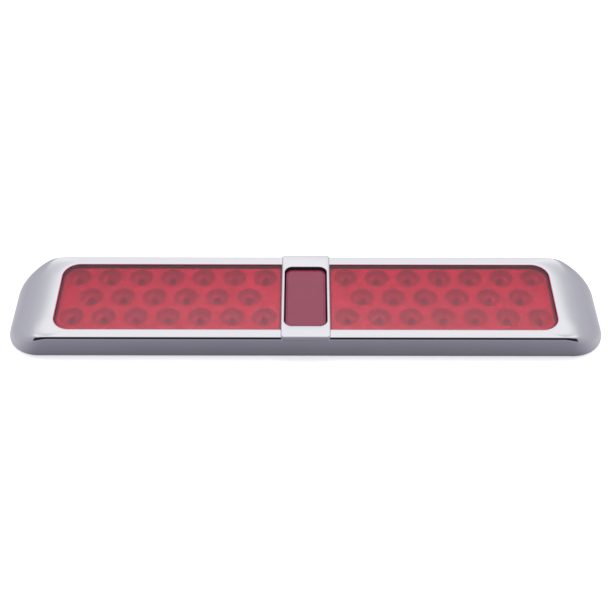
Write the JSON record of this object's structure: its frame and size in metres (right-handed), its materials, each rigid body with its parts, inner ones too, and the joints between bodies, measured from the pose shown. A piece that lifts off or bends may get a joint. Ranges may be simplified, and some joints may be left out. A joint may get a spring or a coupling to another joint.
{
  "type": "third brake light",
  "caption": "Long low chrome brake light with a domed end at each side, two red lenses over cupped lamps, a bridging saddle with a red reflector, and a closed back with inserts and an inlet.",
  "frame": {"origin": "centre of the mounting plane, at the middle of the light's back", "axes": "+X along the light's length, +Y towards its upper edge when it is fitted, +Z out of the lenses"},
  "size_m": [0.3722, 0.073, 0.0177],
  "materials": {
    "chrome": "bright chrome plating on ABS",
    "lens_red": "clear red polycarbonate, glossy",
    "reflector_red": "dark red acrylic, glossy",
    "metallised": "vacuum metallised plastic",
    "lamp_clear": "clear epoxy",
    "board_green": "solder mask",
    "component_dark": "moulded component body",
    "wire_cover": "PVC insulation",
    "plate_black": "black ABS, fine texture",
    "seal_rubber": "soft rubber",
    "foam_black": "closed cell foam",
    "screw_steel": "zinc plated steel",
    "screw_brass": "yellow zinc plated steel",
    "insert_brass": "machined brass",
    "terminal_brass": "tinned brass",
    "inlet_plastic": "glass filled nylon"
  },
  "bodies": {
    "root": {"chrome_housing": "chrome", "centre_saddle": "chrome", "saddle_screws": "screw_steel", "centre_reflector": "reflector_red", "reflector_pad": "foam_black", "lens_left": "lens_red", "lens_right": "lens_red", "lens_seal_left": "seal_rubber", "lens_seal_right": "seal_rubber", "cup_plate_left": "metallised", "cup_plate_right": "metallised", "lamps_left": "lamp_clear", "lamps_right": "lamp_clear", "circuit_board_left": "board_green", "circuit_board_right": "board_green", "board_screws": "screw_brass", "resistors_left": "component_dark", "resistors_right": "component_dark", "diodes": "component_dark", "jumper_wires": "wire_cover", "supply_wires": "wire_cover", "back_plate": "plate_black", "back_plate_seal": "seal_rubber", "back_plate_screws": "screw_steel", "mounting_inserts": "insert_brass", "power_inlet": "inlet_plastic", "inlet_terminals": "terminal_brass", "inlet_seal": "seal_rubber", "mounting_gasket": "foam_black"}
  },
  "joints": []
}
